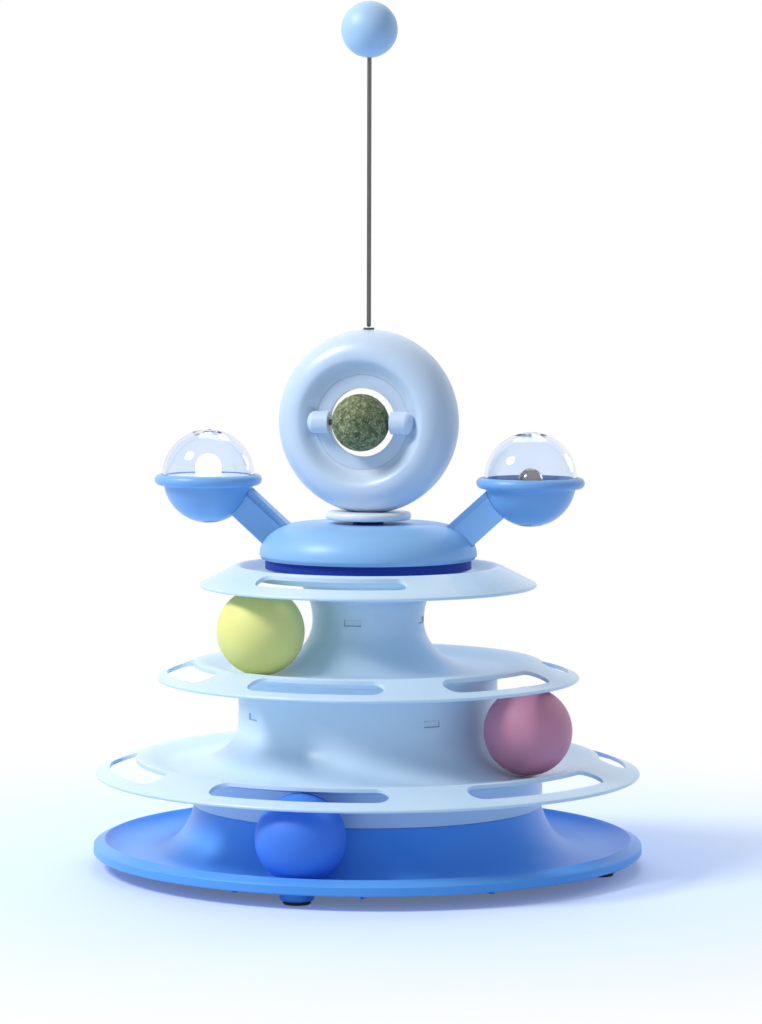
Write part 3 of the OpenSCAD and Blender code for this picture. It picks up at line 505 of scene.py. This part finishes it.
moulded("base_tray", "base_dish", "tower", "base_blue", BASE, edge=0.5, fit=round_bosses)
for level in ("lower", "middle", "top"):
    moulded(level + "_tray", level + "_level", "tower", "tray_white", TRAY, edge=0.45)
moulded("hub_shell", "hub_cover", "rotor", "hub_blue", HUB, edge=0.5)
for side in ("left", "right"):
    moulded("arm_" + side, "arm_bar_" + side, "rotor", "hub_blue", HUB, edge=0.6)
    moulded("cup_" + side, "bowl_" + side, "rotor", "hub_blue", CUP, edge=0.25)
    moulded("dome_" + side, "clear_dome_" + side, "dome_" + side, "dome_clear", CLEAR,
            edge=0.15, sharp=40, segments=1)
moulded("bell_dish", "bell_tray", "rotor", "tray_white", TRAY, edge=0.2)
moulded("bell_shell", "jingle_bell", "bell", "bell_metal", BELL, edge=0.08)
moulded("light_base", "light_seat", "rotor", "part_white", WHITE, edge=0.3)
moulded("collar", "ring_collar", "tower", "part_white", WHITE, edge=0.4)
moulded("ring_front", "ring_face", "tower", "ring_lavender", RING, edge=0.15, fit=close_lug_seats)
moulded("ring_back", "ring_rear", "tower", "ring_lavender", RING, edge=0.3)
moulded("ball_holder", "catnip_holder", "tower", "ring_lavender", RING, edge=0.15, fit=seat_holder)
for level, slot, material in (("base", "ball_blue", BLUE), ("lower", "ball_pink", PINK),
                              ("middle", "ball_green", YELLOW)):
    moulded(level + "_ball", level + "_track_ball", level + "_ball", slot, material)
moulded("wand_ball", "wand_tip", "wand", "wand_blue", WAND)
moulded("wand_wire", "wand_rod", "wand", "steel", STEEL)

# the spindle and the hub's plate take the painted-shade blue
for node, material in (("rubber_feet", RUBBER), ("spindle", SHADE_BLUE), ("spindle_screws", STEEL),
                       ("thrust_washer", NYLON), ("hub_plate", SHADE_BLUE), ("hub_screws", STEEL),
                       ("bell_pea", STEEL), ("collar_screw", STEEL), ("catnip_axle", STEEL),
                       ("wand_grommet", GROMMET)):
    paint(node, material)


def catnip_lump():
    """The pressed catnip ball: an uneven, flaky ball round its axle."""
    low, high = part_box("catnip_ball")
    bm = bmesh.new()
    bmesh.ops.create_icosphere(bm, subdivisions=6, radius=(high.x - low.x) / 2 * LUMP_SHARE)
    obj = finish_mesh("catnip_lump", bm, sharp=180)
    texture = bpy.data.textures.new("herb_flakes", "VORONOI")
    texture.noise_scale = FLAKE_SIZE
    flakes = obj.modifiers.new("flakes", "DISPLACE")
    flakes.texture = texture
    flakes.texture_coords = "LOCAL"
    flakes.strength = FLAKE_HEIGHT
    flakes.mid_level = FLAKE_LEVEL
    depsgraph = bpy.context.evaluated_depsgraph_get()
    mesh = bpy.data.meshes.new_from_object(obj.evaluated_get(depsgraph))
    obj.modifiers.clear()
    obj.data = mesh
    obj.data.transform(Matrix.Translation((low + high) / 2))
    return dress(obj, "catnip", "catnip", HERB, "catnip_ball")


def light_bulb():
    """The light's round-topped shell, straight at its foot, standing on its seat."""
    low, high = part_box("light_ball")
    foot = low.z + BULB_FOOT
    top = low.z + BULB_TOP
    angles = [math.radians(angle) for angle in range(0, 90, BULB_ARC)]
    points = [(0, foot), (BULB_R - BULB_EDGE, foot), (BULB_R, foot + BULB_EDGE)]
    points += [(BULB_R * math.cos(a), top - BULB_R + BULB_R * math.sin(a)) for a in angles]
    points.append((0, top))
    bm = bmesh.new()
    verts = [bm.verts.new((r, 0, z)) for r, z in points]
    edges = [bm.edges.new(pair) for pair in zip(verts, verts[1:])]
    bmesh.ops.spin(bm, geom=verts + edges, cent=(0, 0, 0), axis=(0, 0, 1), angle=math.tau,
                   steps=BULB_STEPS, use_merge=True, use_duplicate=False)
    bmesh.ops.remove_doubles(bm, verts=bm.verts, dist=WELD)
    bmesh.ops.recalc_face_normals(bm, faces=bm.faces)
    bmesh.ops.translate(bm, verts=bm.verts, vec=((low.x + high.x) / 2, (low.y + high.y) / 2, 0))
    return dress(finish_mesh("light_bulb", bm, sharp=40), "rotor", "light_white", GLOW, "light_ball")


catnip_lump()
light_bulb()

# Floor, world, lamps and camera


def seen_rays(tree):
    """1 for the rays by which the camera, glass and gloss see the backdrop."""
    path = add(tree, "LightPath", {}).outputs
    total = path["Is Camera Ray"]
    for kind in ("Is Transmission Ray", "Is Glossy Ray"):
        total = reckon(tree, "MAXIMUM", total, path[kind])
    return total


def mix_shader(tree, share, first, second):
    """Two shaders mixed by a share of the second."""
    inputs = {"Fac": share, 1: first.outputs[0], 2: second.outputs[0]}
    return add(tree, "MixShader", inputs)


def studio_floor():
    """A pale floor that keeps the toy's shadow and fades into the white backdrop round it."""
    bm = bmesh.new()
    bmesh.ops.create_grid(bm, x_segments=8, y_segments=8, size=FLOOR_HALF)
    floor = finish_mesh("studio_floor", bm)
    mat, tree, shader = new_material("studio_floor_paint")
    feed(tree, shader, {"Base Color": (0.66, 0.76, 0.98, 1), "Roughness": 0.9,
                        "Specular IOR Level": 0.1})
    bright = add(tree, "Emission", {"Color": (0.60, 0.74, 1, 1), "Strength": 0.2})
    near = add(tree, "AddShader", {0: shader.outputs[0], 1: bright.outputs[0]})
    away = add(tree, "VectorMath", {0: object_place(tree)}, operation="LENGTH")
    fade = spread(tree, away.outputs["Value"], FADE_START, FADE_END,
                  interpolation_type="SMOOTHSTEP")
    white = add(tree, "Emission", {"Color": (1, 1, 1, 1)})
    bounce = add(tree, "BsdfDiffuse", {"Color": (0.56, 0.74, 1, 1)})
    seen = mix_shader(tree, fade, near, white)
    pick = mix_shader(tree, seen_rays(tree), bounce, seen)
    feed(tree, tree.nodes["Material Output"], {"Surface": pick.outputs[0]})
    floor.data.materials.append(mat)


def studio_world():
    """A white backdrop that lights the toy with a softer, bluer light."""
    world = bpy.data.worlds.new("studio")
    bpy.context.scene.world = world
    world.use_nodes = True
    tree = world.node_tree
    tree.nodes.clear()
    soft = add(tree, "Background", {"Color": (0.84, 0.91, 1, 1), "Strength": 0.38})
    plain = add(tree, "Background", {"Color": (1, 1, 1, 1), "Strength": 1})
    pick = mix_shader(tree, seen_rays(tree), soft, plain)
    add(tree, "OutputWorld", {"Surface": pick.outputs[0]})


def lamp(name, azimuth, elevation, distance, size, watts, colour, gloss=True):
    """A round lamp, placed by its angles off the camera's side of the toy."""
    data = bpy.data.lights.new(name, "AREA")
    data.shape = "DISK"
    data.size = size
    data.energy = watts
    data.color = colour
    obj = bpy.data.objects.new(name, data)
    bpy.context.scene.collection.objects.link(obj)
    az = math.radians(azimuth) + CAMERA_TURN
    el = math.radians(elevation)
    way = Vector((math.sin(az) * math.cos(el), -math.cos(az) * math.cos(el), math.sin(el)))
    obj.location = Vector((0, 0, LAMP_AIM)) + way * distance
    obj.rotation_euler = way.to_track_quat("Z", "Y").to_euler()
    obj.visible_glossy = gloss


def photo_camera():
    """The camera where the toy was seen from."""
    data = bpy.data.cameras.new("camera")
    data.lens = CAMERA_LENS
    data.sensor_width = CAMERA_SENSOR
    data.clip_start = 0.05
    data.clip_end = 30
    obj = bpy.data.objects.new("camera", data)
    bpy.context.scene.collection.objects.link(obj)
    turn = Matrix.Rotation(CAMERA_TURN, 4, "Z")
    place = Matrix.Translation((CAMERA_SIDE, -CAMERA_BACK, CAMERA_HEIGHT))
    tilt = Matrix.Rotation(math.pi / 2 - CAMERA_TILT, 4, "X")
    roll = Matrix.Rotation(CAMERA_ROLL, 4, "Z")
    obj.matrix_world = turn @ place @ tilt @ roll
    bpy.context.scene.camera = obj


studio_floor()
studio_world()
lamp("key_left", azimuth=-68, elevation=43, distance=1.5, size=0.5, watts=17,
     colour=(1, 0.99, 0.97))
lamp("back_soft", azimuth=175, elevation=52, distance=1.6, size=1.1, watts=9,
     colour=(0.95, 0.97, 1), gloss=False)
lamp("rim_right", azimuth=132, elevation=14, distance=1.5, size=0.5, watts=4.5,
     colour=(0.85, 0.92, 1), gloss=False)
photo_camera()
bpy.context.scene.view_settings.view_transform = "Standard"
